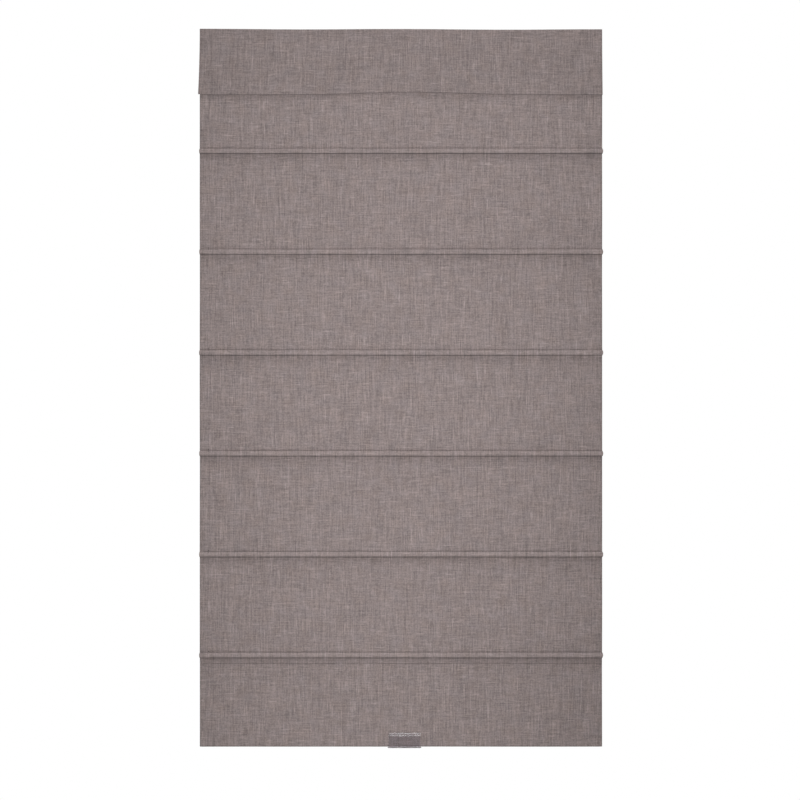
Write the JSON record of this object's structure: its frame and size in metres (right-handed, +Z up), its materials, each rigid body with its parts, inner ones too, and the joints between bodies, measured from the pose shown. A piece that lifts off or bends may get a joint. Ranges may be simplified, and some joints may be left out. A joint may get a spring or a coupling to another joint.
{
  "type": "roman blind",
  "caption": "Cordless roman blind in taupe linen-look cloth: flat valance, sewn rod tucks, clear lift handle, and a spring lift in an aluminium headrail on wall brackets.",
  "frame": {"origin": "centre of the four wall screw holes, on the wall's face", "axes": "+X along the blind, to the right as the room sees it, +Y into the wall, +Z up"},
  "size_m": [0.9152, 0.0656, 1.6289],
  "materials": {
    "linen_cloth": "plain linen-look weave with slubs, taupe",
    "hook_tape": "hook side of hook and loop tape",
    "loop_tape": "loop side of hook and loop tape",
    "rail_paint": "white powder coat",
    "zinc_steel": "zinc plate",
    "white_plastic": "moulded, fine texture",
    "grey_plastic": "moulded, fine texture",
    "spool_plastic": "moulded acetal",
    "spring_steel": "rolled spring strip",
    "shaft_steel": "drawn bar",
    "fibreglass": "pulled glass-fibre tube",
    "ring_plastic": "translucent moulding",
    "bar_aluminium": "mill finish",
    "clear_plastic": "clear moulding"
  },
  "bodies": {
    "headrail": {"headrail_channel": "rail_paint", "motor_housing": "grey_plastic", "motor_cover": "grey_plastic", "spring_band": "spring_steel", "headrail_hook_tape": "hook_tape", "shade_loop_tape": "loop_tape", "shade_cloth": "linen_cloth", "valance_hook_tape": "hook_tape", "valance_loop_tape": "loop_tape", "valance": "linen_cloth", "end_cap_left": "white_plastic", "bracket_left": "zinc_steel", "spool_cradle_left": "white_plastic", "cradle_cover_left": "white_plastic", "end_cap_right": "white_plastic", "bracket_right": "zinc_steel", "spool_cradle_right": "white_plastic", "cradle_cover_right": "white_plastic"},
    "lift_shaft": {"output_drum": "spool_plastic", "lift_shaft": "shaft_steel", "cord_spool_left": "spool_plastic", "cord_spool_right": "spool_plastic"},
    "storage_drum": {"storage_drum": "spool_plastic"},
    "tuck_1": {"rod_1": "fibreglass", "rod_plugs_1": "white_plastic", "cord_rings_1": "ring_plastic"},
    "tuck_2": {"rod_2": "fibreglass", "rod_plugs_2": "white_plastic", "cord_rings_2": "ring_plastic"},
    "tuck_3": {"rod_3": "fibreglass", "rod_plugs_3": "white_plastic", "cord_rings_3": "ring_plastic"},
    "tuck_4": {"rod_4": "fibreglass", "rod_plugs_4": "white_plastic", "cord_rings_4": "ring_plastic"},
    "tuck_5": {"rod_5": "fibreglass", "rod_plugs_5": "white_plastic", "cord_rings_5": "ring_plastic"},
    "tuck_6": {"rod_6": "fibreglass", "rod_plugs_6": "white_plastic", "cord_rings_6": "ring_plastic"},
    "bottom_rail": {"bottom_bar": "bar_aluminium", "lift_handle": "clear_plastic", "cord_anchor_left": "ring_plastic", "bottom_bar_plug_left": "white_plastic", "cord_anchor_right": "ring_plastic", "bottom_bar_plug_right": "white_plastic"}
  },
  "joints": [
    {"name": "blind_lift", "type": "slide", "parent": "headrail", "child": "bottom_rail", "axis": [0, 0, 1], "range_m": [0, 1.293], "deforming": ["shade_cloth", "spring_band"]},
    {"name": "tuck_1_lift", "type": "slide", "parent": "headrail", "child": "tuck_1", "axis": [0, 0, 1], "range_m": [0, 0.1185]},
    {"name": "tuck_2_lift", "type": "slide", "parent": "headrail", "child": "tuck_2", "axis": [0, 0, 1], "range_m": [0, 0.3251]},
    {"name": "tuck_3_lift", "type": "slide", "parent": "headrail", "child": "tuck_3", "axis": [0, 0, 1], "range_m": [0, 0.5317]},
    {"name": "tuck_4_lift", "type": "slide", "parent": "headrail", "child": "tuck_4", "axis": [0, 0, 1], "range_m": [0, 0.7383]},
    {"name": "tuck_5_lift", "type": "slide", "parent": "headrail", "child": "tuck_5", "axis": [0, 0, 1], "range_m": [0, 0.9449]},
    {"name": "tuck_6_lift", "type": "slide", "parent": "headrail", "child": "tuck_6", "axis": [0, 0, 1], "range_m": [0, 1.1515]},
    {"name": "lift_shaft_turn", "type": "hinge", "parent": "headrail", "child": "lift_shaft", "pos_m": [0, -0.0316, 0.0007], "axis": [-1, 0, 0], "range_deg": [0, 7639]},
    {"name": "storage_drum_turn", "type": "hinge", "parent": "headrail", "child": "storage_drum", "pos_m": [0, -0.0166, 0.0007], "axis": [1, 0, 0], "range_deg": [0, 7994]}
  ],
  "couplings": [
    {"joint": "tuck_1_lift", "follows": "blind_lift", "ratio": 0.09157},
    {"joint": "tuck_2_lift", "follows": "blind_lift", "ratio": 0.25135},
    {"joint": "tuck_3_lift", "follows": "blind_lift", "ratio": 0.41114},
    {"joint": "tuck_4_lift", "follows": "blind_lift", "ratio": 0.57092},
    {"joint": "tuck_5_lift", "follows": "blind_lift", "ratio": 0.7307},
    {"joint": "tuck_6_lift", "follows": "blind_lift", "ratio": 0.89049},
    {"joint": "lift_shaft_turn", "follows": "blind_lift", "rad_per_m": 103.09},
    {"joint": "storage_drum_turn", "follows": "blind_lift", "rad_per_m": 107.89}
  ]
}
